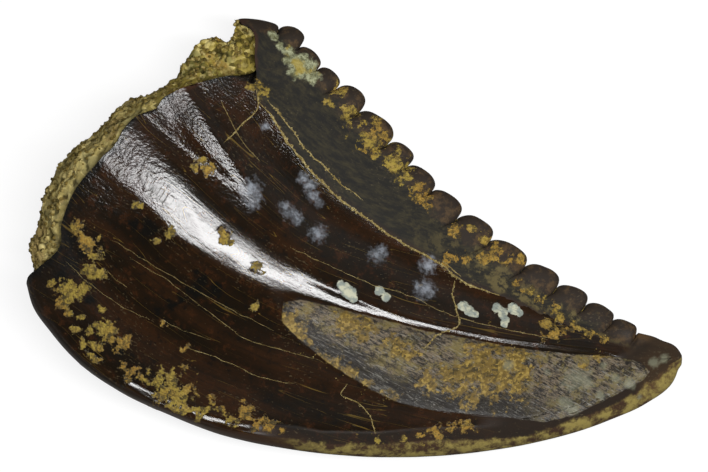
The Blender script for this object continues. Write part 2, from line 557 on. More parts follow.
# The cracks: how wide the filling is, next to the others, and its path
CRACKS = (
    (1.4, ((-1.49, 2.09), (-1.26, 1.84), (-1.05, 1.49), (-0.80, 1.16), (-0.48, 0.81), (-0.18, 0.54),
           (0.14, 0.32), (0.44, 0.10), (0.69, -0.06), (1.31, -0.42), (1.60, -0.65), (2.21, -0.89))),
    (1.0, ((-1.32, 2.09), (-0.95, 1.62), (-0.80, 1.40), (-0.42, 1.04), (-0.18, 0.78), (0.14, 0.57))),
    (0.9, ((-1.50, 2.29), (-1.49, 1.94), (-1.67, 1.75), (-2.00, 1.43))),
    (0.40, ((-2.03, 2.09), (-1.73, 1.49), (-1.44, 1.13))),
    (0.35, ((-0.98, -0.15), (-0.48, -0.39), (-0.12, -0.56), (0.29, -0.73), (0.75, -0.86), (1.46, -1.18),
            (2.21, -1.38), (3.12, -1.56))),
    (0.7, ((1.34, -0.36), (1.63, -0.62))),
    (1.0, ((1.52, -0.67), (1.49, -0.88), (1.56, -1.14), (1.60, -1.29), (1.21, -1.53), (1.05, -1.71))),
    (0.28, ((-3.43, -0.30), (-2.75, -0.73), (-2.16, -1.18), (-1.62, -1.56), (-1.03, -1.73), (-0.44, -1.91))),
    (0.25, ((-3.72, -0.03), (-1.97, -1.05), (-1.21, -1.43))),
    (0.28, ((-2.54, -1.67), (-2.00, -1.88), (-1.38, -2.14), (-0.89, -2.23))),
    (0.7, ((-0.12, -2.23), (-0.21, -2.38), (0.03, -2.51), (0.26, -2.79), (0.31, -3.01))),
    (0.24, ((-4.40, -0.36), (-3.87, -0.83), (-3.48, -1.09), (-3.11, -1.25))),
    (0.24, ((-3.79, -0.51), (-3.62, -0.65), (-3.45, -0.77))),
    (0.20, ((-2.95, -1.25), (-2.53, -1.45), (-2.17, -1.56))),
)

# Lines on the tooth, as (x, y)
FACET_OUTLINE = (
    (-1.09, -1.00), (-0.83, -0.95), (-0.38, -1.05), (0.17, -1.19), (0.61, -1.30), (1.08, -1.43),
    (1.52, -1.50), (2.38, -1.68), (3.29, -1.78), (3.91, -1.81), (4.34, -1.90), (4.49, -2.05),
    (4.38, -2.17), (3.94, -2.41), (3.29, -2.72), (2.89, -2.81), (2.21, -2.73), (1.22, -2.64),
    (0.63, -2.51), (0.32, -2.35), (-0.09, -2.11), (-0.42, -1.90), (-0.80, -1.58), (-1.11, -1.30),
)
MAIN_CRACK_LINE = (
    (-1.75, 2.70), (-1.49, 2.09), (-1.26, 1.84), (-1.05, 1.49), (-0.80, 1.16), (-0.48, 0.81),
    (-0.18, 0.54), (0.14, 0.32), (0.44, 0.10), (0.69, -0.06), (1.31, -0.42), (1.60, -0.65), (2.21, -0.89),
    (3.12, -1.29), (4.03, -1.65), (5.10, -1.90),
)
KEEL = (
    (-5.09, -0.80), (-4.67, -1.14), (-4.38, -1.67), (-4.00, -2.02), (-3.54, -2.19), (-3.13, -2.43),
    (-2.60, -2.67), (-2.25, -2.84), (-1.76, -2.93), (-1.38, -2.98), (-0.92, -3.02), (-0.51, -3.10),
    (0.35, -3.11), (1.08, -3.04), (1.83, -3.04), (2.56, -2.99), (3.29, -2.75), (3.88, -2.52),
    (4.34, -2.25), (4.79, -1.94),
)

# Ridges, as (x, y, half width)
CREST = (
    (-3.81, 1.24, 0.09), (-3.65, 1.10, 0.11), (-3.47, 0.96, 0.12), (-3.21, 0.83, 0.14), (-2.98, 0.65, 0.15),
    (-2.70, 0.43, 0.17), (-2.50, 0.22, 0.20), (-2.24, 0.02, 0.20), (-1.96, -0.17, 0.19),
    (-1.64, -0.38, 0.17), (-1.38, -0.51, 0.14), (-1.11, -0.63, 0.11), (-0.83, -0.76, 0.08),
    (-0.59, -0.86, 0.06), (-0.36, -0.95, 0.05), (-0.09, -1.05, 0.05), (0.19, -1.13, 0.04),
    (0.61, -1.25, 0.04), (1.08, -1.34, 0.03), (1.68, -1.48, 0.03), (2.56, -1.63, 0.04), (3.29, -1.72, 0.04),
    (3.91, -1.78, 0.03), (5.10, -1.90, 0.02),
)
SECOND_RIDGE = (
    (-2.69, 2.18, 0.12), (-2.51, 1.86, 0.13), (-2.32, 1.57, 0.11), (-2.10, 1.30, 0.09), (-1.87, 1.05, 0.07),
    (-1.67, 0.84, 0.05), (-1.50, 0.63, 0.03),
)
KEEL_RIDGE = (
    (-3.45, -2.22, 0.02), (-3.11, -2.41, 0.03), (-2.73, -2.57, 0.03), (-2.28, -2.76, 0.03),
    (-1.82, -2.88, 0.03), (-1.41, -2.95, 0.03), (-0.98, -3.00, 0.02), (-0.60, -3.04, 0.02),
)

# The trough between the crest and the second ridge, as (x, y, depth)
TROUGH = (
    (-3.29, 1.93, 0.060), (-2.86, 1.56, 0.060), (-2.54, 1.27, 0.055), (-2.27, 1.04, 0.035),
    (-2.02, 0.81, 0.012), (-1.81, 0.61, 0.000),
)
print("marks:", len(OCHRE) + len(FACET_OCHRE) + len(PALE_SPOTS) + len(STAR) + len(HAZE) + len(TIP_SMEARS)
      + len(DARK_STAINS), "blobs,", len(CRACKS), "cracks")

# %% Fields of marks
FAR_SIDE = 20.0  # the underside's growth map starts this far from the upper side's
CREST_BLEND = 0.15  # on each side of the crest, where one way of measuring across gives way to the other
UNSEEN = 4.0  # taken from the fields on the side that the camera didn't see, so that no mark is there
UNDERSIDE_SEED, UNDERSIDE_CRUSTS = 7, 46  # the underside's crusts are drawn at random
UNDERSIDE_RANGES = ((-4.5, 4.0), (-3.2, 2.2), (0.05, 0.24))  # of their x, their y and their radius
FLANGE_V = 0.8  # where the flange starts on the underside


def blob_field(spots, blobs):
    """1 at the middle of a mark, 0 on its edge and below 0 outside it."""
    best = np.full(len(spots), -4.0)
    for x, y, radius in blobs:
        best = np.maximum(best, 1 - np.hypot(spots[:, 0] - x, spots[:, 1] - y) / radius)
    return best


def from_line(spots, line, closed=False):
    """The distance of each spot from a line, and how far along the line the place nearest to it lies.

    The distance is positive inside a closed outline or to the left of an open line, and else negative.
    """
    line = np.array(line)
    ends = np.roll(line, -1, axis=0) if closed else line[1:]
    best, side = np.full(len(spots), 99.0), np.zeros(len(spots), bool)
    foot, start = np.zeros(len(spots)), 0.0
    for a, b in zip(line, ends):
        way, off = b - a, spots - a
        t = np.clip(off @ way / (way @ way), 0.0, 1.0)
        away = np.linalg.norm(off - t[:, None] * way, axis=1)
        if closed:
            spans = (a[1] > spots[:, 1]) != (b[1] > spots[:, 1])
            rise = b[1] - a[1] if b[1] != a[1] else 1.0
            side ^= spans & (spots[:, 0] < a[0] + (spots[:, 1] - a[1]) * (b[0] - a[0]) / rise)
        else:
            side = np.where(away < best, way[0] * off[:, 1] - way[1] * off[:, 0] > 0, side)
        foot = np.where(away < best, start + t * np.linalg.norm(way), foot)
        best, start = np.minimum(best, away), start + np.linalg.norm(way)
    return np.where(side, best, -best), foot


def bumps(points, per_mm, shift=0.0):
    """Smooth lumps, about -1 to 1, this many to a millimetre."""
    return np.array([noise.noise(Vector(point)) for point in points * per_mm + shift])


places = points_of(crown_mesh)
spots = seen_at(places)
u, v = read(crown_mesh, "u"), read(crown_mesh, "v")
top, hollow = read(crown_mesh, "top"), read(crown_mesh, "hollow")
along = u * EDGE_LENGTH
from_crest = from_line(spots, np.array(CREST)[:, :2])[0]
behind = smooth_step(-CREST_BLEND, CREST_BLEND, from_crest)
crest_v = line_at(UPPER_LINES, "crest", u)[0]
across = np.where(top > 0.5, from_crest * (1 - behind) + (v - crest_v) * width_at(u) * behind,
                  -FAR_SIDE - v * width_at(u))
unseen = UNSEEN * (top < 0.5)
draws = np.random.default_rng(UNDERSIDE_SEED)
underside = np.stack([draws.uniform(*limits, UNDERSIDE_CRUSTS) for limits in UNDERSIDE_RANGES], axis=1)
facet_low, facet_high = facet_limits(u)
fields = {name: blob_field(spots, blobs) - unseen for name, blobs in (
    ("facet_ochre", FACET_OCHRE), ("pale", PALE_SPOTS), ("star", STAR), ("haze", HAZE), ("smear", TIP_SMEARS),
    ("stain", DARK_STAINS))}
fields.update({
    "ochre": np.where(top > 0.5, blob_field(spots, OCHRE), blob_field(spots, underside)),
    "facet": from_line(spots, FACET_OUTLINE, closed=True)[0] - unseen,
    "flange": np.where(top > 0.5, from_line(spots, MAIN_CRACK_LINE)[0], (v - FLANGE_V) * width_at(u)),
    "keel": -from_line(spots, KEEL)[0] - unseen,
    "sulcus": read(crown_mesh, "groove") * near_back_edge(u, v),
    "edge": near_back_edge(u, v),
    "facet_share": np.clip((v - facet_low) / (facet_high - facet_low), 0.0, 1.0),
})
for name, values in fields.items():
    store(crown_mesh, name, values)
print("marked points:", {name: int((values > 0).sum()) for name, values in fields.items()})

# %% [markdown]
# ## Relief: what light will catch
# The solid's ridges are made of flat bands. Here they are rounded, and turned a little to face the soft
# box above, because a glossy band that mirrors the light is what the eye takes for a crest. A shallow
# trough between the two ridges looks away from the light, and the notches between the denticles are moved
# inwards. Then come the small forms. The surface swells a little, fine ridges run along the growth, the
# worn facet lies a step lower and is scored by slanting scratches, and crusts stand proud. These move
# points along their normals.

# %% Ridges, trough and notches
ROUNDED = ((CREST, 0.0, 4.3), (SECOND_RIDGE, 0.045, -1.5), (KEEL_RIDGE, 0.015, -0.6))  # line, lift, end in x
LIGHT_WAY, LIGHT_FALL = np.array((0.208, 0.978)), 0.027  # skin that falls so much that way mirrors the light
BAND_TURN, BAND_FADE = 0.048, 0.08  # how far a band's slope turns from middle to edge, and how wide it fades
RIDGE_STOPS, RIDGE_SMOOTHING = 160, 15  # a ridge's height is taken at so many stops, and smoothed over some
RIDGE_REACH, RIDGE_END = 0.05, 0.5  # how far around a stop its height is taken, and how long the ridge fades
TROUGH_WIDTH = 0.30
NOTCH, NOTCH_WAY = 0.08, np.array((0.64, 0.77))


def rounded_ridge(places, spots, ridge, lift, end):
    """New heights near a ridge: a rounded band, as wide as the table says, that faces the light all along."""
    line, half_widths = np.array(ridge)[:, :2], np.array(ridge)[:, 2]
    away, foot = from_line(spots, line)
    knots = lengths_along(line)
    stops = np.linspace(0.0, knots[-1], RIDGE_STOPS)
    centres = np.stack([np.interp(stops, knots, column) for column in line.T], axis=1)
    apart = ((spots[:, None] - centres) ** 2).sum(axis=2)
    near = np.exp(-(apart / RIDGE_REACH**2)) * top[:, None] + 1e-12
    heights = (near * places[:, 2:]).sum(axis=0) / near.sum(axis=0)
    padded = np.pad(heights, RIDGE_SMOOTHING // 2, mode="edge")
    heights = np.convolve(padded, np.ones(RIDGE_SMOOTHING) / RIDGE_SMOOTHING, mode="valid") + lift
    ways = np.gradient(centres, stops, axis=0)
    fall, sides = np.gradient(heights, stops), np.stack([-ways[:, 1], ways[:, 0]], axis=1)
    slopes = -(LIGHT_FALL + fall * (ways @ LIGHT_WAY)) / (sides @ LIGHT_WAY)
    half = np.interp(foot, knots, half_widths)
    section = np.interp(foot, stops, heights) + np.interp(foot, stops, slopes) * away - (
        away**2 * BAND_TURN / half / 2)
    weight = top * (1 - smooth_step(0.0, 1.0, (np.abs(away) - half) / (half + BAND_FADE)))
    weight *= 1 - smooth_step(end - RIDGE_END, end, spots[:, 0])
    return places[:, 2] + weight * (section - places[:, 2])


for ridge, lift, end in ROUNDED:
    places[:, 2] = rounded_ridge(places, spots, ridge, lift, end)
notched = fields["sulcus"] ** 1.5 * smooth_step(0.5, 0.95, fields["edge"])
places[:, :2] -= NOTCH * notched[:, None] * NOTCH_WAY
trough_line, trough_depths = np.array(TROUGH)[:, :2], np.array(TROUGH)[:, 2]
away, foot = from_line(spots, trough_line)
in_trough = 1 - np.clip(np.hypot(away, 0.01) / TROUGH_WIDTH, 0.0, 1.0)
places[:, 2] -= np.interp(foot, lengths_along(trough_line), trough_depths) * in_trough**1.5 * top
move_points(crown_mesh, places)
print("notches at most, mm:", round(float(NOTCH * notched.max()), 3))

# %% Relief of the crown
SWELL, RIDGES, FACET_STEP, FACET_SCORES, CRUST = 0.008, 0.0022, 0.022, 0.007, 0.012
PALE_CRUST, KEEL_GROOVE, KEEL_GROOVE_WIDTH = 0.012, 0.012, 0.03
KNOB, KNOB_LUMPS = 0.018, 0.016
SCORE_TURN = math.radians(-27)

score_along = spots @ np.array((math.cos(SCORE_TURN), math.sin(SCORE_TURN)))
score_across = spots @ np.array((-math.sin(SCORE_TURN), math.cos(SCORE_TURN)))
growth = np.stack([along * 0.55, across * 6.5, top * 5.0], axis=1)
scores = np.stack([score_along * 1.3, score_across * 12.0, top], axis=1)
on_facet = smooth_step(-0.015, 0.03, fields["facet"])
relief = SWELL * (bumps(places, 0.9) + 0.4 * bumps(places, 2.6))
relief += RIDGES * bumps(growth, 1.0) * (1 - on_facet)
relief -= FACET_STEP * on_facet
pitted = bumps(scores, 1.0) + 0.7 * bumps(places, 9.0) + 0.5 * bumps(places, 19.0)
relief += FACET_SCORES * on_facet * pitted
knobs = KNOB * (1 - fields["sulcus"]) + KNOB_LUMPS * bumps(places, 4.5)
relief += knobs * smooth_step(0.1, 0.8, fields["edge"])
crusted = smooth_step(-0.1, 0.5, np.maximum(fields["ochre"], fields["star"]) + 0.5 * bumps(places, 8.0))
relief += CRUST * crusted * (0.6 + 0.6 * bumps(places, 13.0))
relief += PALE_CRUST * smooth_step(-0.05, 0.15, fields["pale"] + 0.25 * bumps(places, 10.0))
beside_keel = np.exp(-((fields["keel"] / KEEL_GROOVE_WIDTH) ** 2))
relief -= KEEL_GROOVE * beside_keel * smooth_step(-3.5, -2.9, spots[:, 0])
relief *= 1 - hollow
move_points(crown_mesh, places + normals_of(crown_mesh) * relief[:, None])
print("relief, mm:", round(float(relief.min()), 3), "to", round(float(relief.max()), 3))

# %% UV map along and across the growth
def lay_out_growth(mesh, along, across):
    """A UV map in millimetres along and across. The underside counts from the front edge, the other way."""
    corners = np.zeros(len(mesh.loops), np.int32)
    mesh.loops.foreach_get("vertex_index", corners)
    totals = np.zeros(len(mesh.polygons), np.int32)
    mesh.polygons.foreach_get("loop_total", totals)
    face_of_corner = np.repeat(np.arange(len(totals)), totals)
    below = np.zeros(len(totals), bool)
    np.logical_or.at(below, face_of_corner, across[corners] < -FAR_SIDE / 2)
    edge = below[face_of_corner] & (across[corners] > -FAR_SIDE / 2)
    corner_across = np.where(edge, -FAR_SIDE - (v * width_at(u))[corners], across[corners])
    layer = mesh.uv_layers.new(name="growth")
    layer.data.foreach_set("uv", np.stack([along[corners], corner_across], axis=1).astype(np.float32).ravel())


def piece(name, mesh, node=None):
    """An object for a finished mesh, which rides on the tooth and may stand for one of its solids."""
    made = placed(name, mesh)
    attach(made, "root")
    if node:
        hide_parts(node)
    return made


lay_out_growth(crown_mesh, along, across)
crown = piece("enamel_crown", crown_mesh, "tooth_crown")
print("piece:", crown.name)

# %% [markdown]
# ## The sandstone in the base
# Wet sand filled the hollow root and turned to stone. It is a loft too, from deep in the hollow out past
# the rim, with lumps of two sizes from noise vectors, and on top of those a packing of rounded grains.
# The cell noise gives each point its distance to the nearest grain's middle, so the grains come out as
# little domes.

# %% Sandstone
SAND_STEPS, SAND_LUMP_ROWS, SAND_INSERT_ROWS = 250, 84, 4
SAND_V = (0.04, 0.985)
GRAINS_PER_MM, GRAIN_RELIEF, PIT_RELIEF = 10.0, 0.05, 0.05
DOME_MIDDLE = 0.7  # the height of a dome, as a share, that stays where it is
CALM_RELIEF = 0.15  # the share of the relief that is left inside the hollow


def noise_vectors(points, per_mm):
    return np.array([noise.noise_vector(Vector(point)) for point in points * per_mm])


def sandstone_mesh():
    depth = HOLLOW_U - SAND_GAP / EDGE_LENGTH
    insert = depth * (1 - np.arange(SAND_INSERT_ROWS) / SAND_INSERT_ROWS)
    outwards = np.sin(math.pi / 2 * np.arange(SAND_LUMP_ROWS + 1) / SAND_LUMP_ROWS)
    us = np.concatenate([insert, np.zeros(len(outwards))])
    outwards = np.concatenate([np.zeros(len(insert)), outwards])
    rings = hollow_rings(us, WALL + SAND_GAP, SAND_STEPS, SAND_STEPS, outwards, SAND_V)
    amount = np.repeat(smooth_step(0.0, CALM_LUMP, outwards), rings.shape[1])[:, None]
    flat = rings.reshape(-1, 3)
    lumps = noise_vectors(flat, LUMPS_PER_MM) * SAND_LUMP + noise_vectors(flat, GRIT_PER_MM) * SAND_GRIT
    moved = (flat + lumps * amount).reshape(rings.shape)
    return mesh_from_rings("sandstone_fill", moved, {"loose": amount.reshape(rings.shape[:2])})


def grain_domes(points):
    """1 in the middle of a grain, falling to 0 in the gaps between grains."""
    nearest = [noise.voronoi(Vector(point), distance_metric="DISTANCE", exponent=2.5)[0][0]
               for point in points * GRAINS_PER_MM]
    return np.sqrt(np.clip(1 - np.array(nearest) ** 2 * 1.6, 0.0, 1.0))


sand_mesh = sandstone_mesh()
sand_places = points_of(sand_mesh)
domes = grain_domes(sand_places)
pits = smooth_step(0.25, 0.6, bumps(sand_places, 6.0))
store(sand_mesh, "dome", domes)
store(sand_mesh, "pit", pits)
sand_relief = GRAIN_RELIEF * (domes - DOME_MIDDLE) - PIT_RELIEF * pits
sand_relief *= np.clip(read(sand_mesh, "loose") * 2, CALM_RELIEF, 1.0)
move_points(sand_mesh, sand_places + normals_of(sand_mesh) * sand_relief[:, None])
sand = piece("sandstone_fill", sand_mesh, "sandstone")
print("sandstone points:", len(sand_mesh.vertices))

# %% [markdown]
# ## Node helpers
# Node trees soon grow long when they are written out link by link. Two small classes keep them short: a
# `Sketch` adds nodes to one tree, and a `Flow` is what runs out of a node. Flows add and multiply like
# plain numbers, and `ramp` turns one into a soft step, so a whole chain of nodes reads like one formula.

# %% Node helpers
class Flow:
    """What runs out of a node's socket. It adds and multiplies like a number, with a new node each time."""

    def __init__(self, sketch, socket):
        self.sketch, self.socket = sketch, socket

    def __add__(self, other):
        return self.sketch.math("ADD", self, other)

    def __sub__(self, other):
        return self.sketch.math("SUBTRACT", self, other)

    def __rsub__(self, other):
        return self.sketch.math("SUBTRACT", other, self)

    def __mul__(self, other):
        return self.sketch.math("MULTIPLY", self, other)

    def __truediv__(self, other):
        return self.sketch.math("DIVIDE", self, other)

    def __abs__(self):
        return self.sketch.math("ABSOLUTE", self)

    def most(self, other):
        return self.sketch.math("MAXIMUM", self, other)

    def times_plus(self, factor, more):
        return self.sketch.math("MULTIPLY_ADD", self, factor, more)

    def ramp(self, low, high, to_low=0.0, to_high=1.0):
        """A soft step from to_low to to_high as the value goes from low to high."""
        return self.sketch.flow("ShaderNodeMapRange", {
            "Value": self, "From Min": low, "From Max": high, "To Min": to_low, "To Max": to_high,
        }, interpolation_type="SMOOTHSTEP")


class Sketch:
    """Adds nodes to one tree. A value for a socket is a number, a tuple or a Flow."""

    def __init__(self, tree):
        self.tree = tree

    def add(self, kind, inputs=None, **settings):
        node = self.tree.nodes.new(kind)
        for setting, value in settings.items():
            setattr(node, setting, value)
        for key, value in (inputs or {}).items():
            self.put(node.inputs[key], value)
        return node

    def put(self, socket, value):
        if isinstance(value, Flow):
            self.tree.links.new(value.socket, socket)
        elif socket.type == "RGBA" and len(value) == 3:
            socket.default_value = (*value, 1.0)
        else:
            socket.default_value = value

    def flow(self, kind, inputs=None, output=0, **settings):
        """A new node's output."""
        return Flow(self, self.add(kind, inputs, **settings).outputs[output])

    def math(self, operation, *values):
        return self.flow("ShaderNodeMath", dict(enumerate(values)), operation=operation)

    def stretch(self, vector, scale):
        return self.flow("ShaderNodeVectorMath", {0: vector, 1: scale}, operation="MULTIPLY")

    def noise(self, vector, per_mm, detail=2.0, roughness=0.5):
        return self.flow("ShaderNodeTexNoise", {
            "Vector": vector, "Scale": per_mm, "Detail": detail, "Roughness": roughness})

    def drawn_out(self, vector, along, across, detail, roughness):
        """Noise in long strokes: this many to a millimetre along the vector map, and this many across."""
        return self.noise(self.stretch(vector, (along, across, 1.0)), 1.0, detail, roughness)

    def mix(self, share, first, second):
        """A colour between two others, the second at a share of 1."""
        return self.flow("ShaderNodeMix", {0: share, 6: first, 7: second}, 2, data_type="RGBA")

    def mix_number(self, share, first, second):
        return self.flow("ShaderNodeMix", {0: share, 2: first, 3: second}, data_type="FLOAT")

    def fact(self, name):
        """One of the mesh's own attributes, in a material."""
        return self.flow("ShaderNodeAttribute", None, "Fac", attribute_name=name)

    def use(self, group, values):
        """The outputs of a node group that is placed here with these inputs."""
        node = self.add("ShaderNodeGroup", node_tree=group)
        for label, value in values.items():
            self.put(node.inputs[label], value)
        return {socket.name: Flow(self, socket) for socket in node.outputs}

    def random(self, kind="FLOAT", low=None, high=None, seed=None):
        """A random number or vector for each point, between low and high."""
        node = self.add("FunctionNodeRandomValue", data_type=kind)
        limits = [socket for socket in node.inputs if socket.enabled]
        for socket, value in ((limits[0], low), (limits[1], high), (node.inputs["Seed"], seed)):
            if value is not None:
                self.put(socket, value)
        return Flow(self, [socket for socket in node.outputs if socket.enabled][0])

    def named(self, name):
        """One of the mesh's own attributes, in a Geometry Nodes tree."""
        return self.flow("GeometryNodeInputNamedAttribute", {"Name": name}, "Attribute", data_type="FLOAT")

    def store_tone(self, geometry, domain):
        """The geometry, with a random tone for each part, which materials read."""
        node = self.add("GeometryNodeStoreNamedAttribute", {"Geometry": geometry, "Name": "tone"},
                        data_type="FLOAT", domain=domain)
        value = [socket for socket in node.inputs if socket.name == "Value" and socket.enabled][0]
        self.put(value, self.random())
        return Flow(self, node.outputs[0])


def new_group(name, kind, inputs, outputs):
    """A node group with these sockets: name, then type, then default value."""
    tree = bpy.data.node_groups.new(name, kind)
    for direction, sockets in (("INPUT", inputs), ("OUTPUT", outputs)):
        for label, (socket_type, default) in sockets.items():
            socket = tree.interface.new_socket(label, in_out=direction, socket_type="NodeSocket" + socket_type)
            if default is not None:
                socket.default_value = default
    sketch = Sketch(tree)
    given = {socket.name: Flow(sketch, socket) for socket in sketch.add("NodeGroupInput").outputs}
    return sketch, given, sketch.add("NodeGroupOutput").inputs


print("node helpers:", [name for name in vars(Sketch) if not name.startswith("_")])

# %% [markdown]
# ## Loose grains, with Geometry Nodes
# Single grains sit on the sandstone and on the crusts of the crown. They repeat thousands of times and
# differ only in size and turn, which is just what Geometry Nodes are for: points are scattered where an
# attribute allows them, each gets a small twenty-sided pebble, and the last nodes make them real mesh
# with a material.

# %% Trees that grow meshes
FULL_TURN = (6.283, 6.283, 6.283)
FLATTEST, FULLEST = (0.6, 0.6, 0.5), (1.0, 1.0, 0.8)  # a pebble's three sizes, as shares of its own width
GEOMETRY = {"Geometry": ("Geometry", None)}


def scatter_tree():
    """Pebbles on the faces of a mesh, as many as its attribute "grains" allows."""
    sketch, given, out = new_group("scatter_grains", "GeometryNodeTree", {
        **GEOMETRY, "Grains per square mm": ("Float", 60.0), "Smallest": ("Float", 0.02),
        "Largest": ("Float", 0.04), "Sink": ("Float", 0.3), "Seed": ("Int", 1), "Finish": ("Material", None),
    }, GEOMETRY)
    allowed = sketch.named("grains")
    points = sketch.add("GeometryNodeDistributePointsOnFaces", {
        "Mesh": given["Geometry"], "Density": given["Grains per square mm"] * (1 / MM**2) * allowed,
        "Seed": given["Seed"],
    }, distribute_method="RANDOM")
    width = sketch.random("FLOAT", given["Smallest"] * MM, given["Largest"] * MM, given["Seed"])

    def scaled(vector):
        return sketch.add("ShaderNodeVectorMath", {0: vector}, operation="SCALE")

    size = scaled(sketch.random("FLOAT_VECTOR", FLATTEST, FULLEST))
    sketch.put(size.inputs["Scale"], width)
    down = scaled(Flow(sketch, points.outputs["Normal"]))
    sketch.put(down.inputs["Scale"], width * (given["Sink"] * -1.0))
    turn = sketch.flow("FunctionNodeEulerToRotation", {0: sketch.random("FLOAT_VECTOR", None, FULL_TURN)})
    sunk = sketch.flow("GeometryNodeSetPosition", {
        "Geometry": Flow(sketch, points.outputs["Points"]), "Offset": Flow(sketch, down.outputs[0])})
    pebble = sketch.flow("GeometryNodeMeshIcoSphere", {"Radius": 1.0, "Subdivisions": 1}, "Mesh")
    smooth = sketch.flow("GeometryNodeSetShadeSmooth", {"Geometry": pebble})
    placed_pebbles = sketch.flow("GeometryNodeInstanceOnPoints", {
        "Points": sunk, "Instance": smooth, "Rotation": turn, "Scale": Flow(sketch, size.outputs[0])})
    toned = sketch.store_tone(placed_pebbles, "INSTANCE")
    real = sketch.flow("GeometryNodeRealizeInstances", {"Geometry": toned})
    sketch.put(out["Geometry"], sketch.flow("GeometryNodeSetMaterial", {
        "Geometry": real, "Material": given["Finish"]}))
    return sketch.tree


def grown(name, start_mesh, tree, values):
    """The plain mesh that a Geometry Nodes tree makes from a start mesh, with its inputs set by name."""
    source = placed(name + "_source", start_mesh)
    modifier = source.modifiers.new(name, "NODES")
    modifier.node_group = tree
    for item in tree.interface.items_tree:
        if item.item_type == "SOCKET" and item.in_out == "INPUT" and item.name in values:
            modifier[item.identifier] = values[item.name]
    seen = source.evaluated_get(bpy.context.evaluated_depsgraph_get())
    mesh = bpy.data.meshes.new_from_object(seen)
    bpy.data.objects.remove(source)
    mesh.name = name
    move_points(mesh, points_of(mesh))
    print(name, "faces:", len(mesh.polygons))
    return mesh


# %% [markdown]
# ## Shader groups
# Four effects come back in several finishes, so each is a node group with named inputs: streaks along the
# growth, ragged edges for marks, sediment and hairline cracks. The groups only put out masks, colours and
# heights. The shader itself stays in each material.

# %% Shader groups
def drawn_out_growth(sketch, given):
    """The growth map, stretched along the tooth and shifted, so that no two uses look alike."""
    scale = sketch.flow("ShaderNodeCombineXYZ", {0: given["Along"], 1: given["Across"], 2: 1.0})
    shift = sketch.flow("ShaderNodeCombineXYZ", {2: given["Shift"]})
    longer = sketch.stretch(given["Growth"], scale)
    return sketch.flow("ShaderNodeVectorMath", {0: longer, 1: shift}, operation="ADD")


def streaks_group():
    sketch, given, out = new_group("growth_streaks", "ShaderNodeTree", {
        "Growth": ("Vector", None), "Along": ("Float", 0.5), "Across": ("Float", 8.0), "Shift": ("Float", 0.0),
    }, {"Streaks": ("Float", None)})
    sketch.put(out["Streaks"], sketch.noise(drawn_out_growth(sketch, given), 1.0, 4.0, 0.6))
    return sketch.tree


def ragged_group():
    """A mask with an uneven edge where a field crosses 0."""
    sketch, given, out = new_group("ragged_mark", "ShaderNodeTree", {
        "Field": ("Float", 0.0), "Place": ("Vector", None), "Grains per mm": ("Float", 12.0),
        "Raggedness": ("Float", 1.2), "Softness": ("Float", 0.15),
    }, {"Mask": ("Float", None)})
    swing = (sketch.noise(given["Place"], given["Grains per mm"], 4.0, 0.65) - 0.5) * given["Raggedness"]
    value = (given["Field"] + swing) / given["Softness"]
    sketch.put(out["Mask"], value.ramp(-1.0, 1.0))
    return sketch.tree


def sediment_group():
    """Grains in three tones, with stains."""
    sketch, given, out = new_group("sediment", "ShaderNodeTree", {
        "Place": ("Vector", None), "Light": ("Color", (0.36, 0.27, 0.09, 1.0)),
        "Middle": ("Color", (0.20, 0.14, 0.035, 1.0)), "Dark": ("Color", (0.06, 0.05, 0.015, 1.0)),
        "Grains per mm": ("Float", 14.0),
    }, {"Color": ("Color", None), "Height": ("Float", None)})
    cells = sketch.add("ShaderNodeTexVoronoi", {
        "Vector": given["Place"], "Scale": given["Grains per mm"], "Randomness": 1.0})
    tone = sketch.flow("ShaderNodeSeparateColor", {0: Flow(sketch, cells.outputs["Color"])})
    value = tone * 0.6 + sketch.noise(given["Place"], 2.3, 3.0, 0.6) * 0.7
    color = sketch.mix(value.ramp(0.25, 0.62), given["Dark"], given["Middle"])
    sketch.put(out["Color"], sketch.mix(value.ramp(0.66, 1.0), color, given["Light"]))
    sketch.put(out["Height"], 1.0 - Flow(sketch, cells.outputs["Distance"]))
    return sketch.tree


def hairline_group():
    """Thin lines where a stretched noise crosses its middle value."""
    sketch, given, out = new_group("hairlines", "ShaderNodeTree", {
        "Growth": ("Vector", None), "Along": ("Float", 0.4), "Across": ("Float", 4.0),
        "Width": ("Float", 0.01), "Shift": ("Float", 0.0),
    }, {"Mask": ("Float", None)})
    moved = drawn_out_growth(sketch, given)
    off_middle = abs(sketch.noise(moved, 1.0, 1.0, 0.4) - 0.5)
    line = (off_middle / given["Width"]).ramp(0.4, 1.0, 1.0, 0.0)
    sketch.put(out["Mask"], line * sketch.noise(moved, 2.7).ramp(0.45, 0.58))
    return sketch.tree


STREAKS, RAGGED, SEDIMENT, HAIRLINES = streaks_group(), ragged_group(), sediment_group(), hairline_group()
print("shader groups:", [group.name for group in (STREAKS, RAGGED, SEDIMENT, HAIRLINES)])


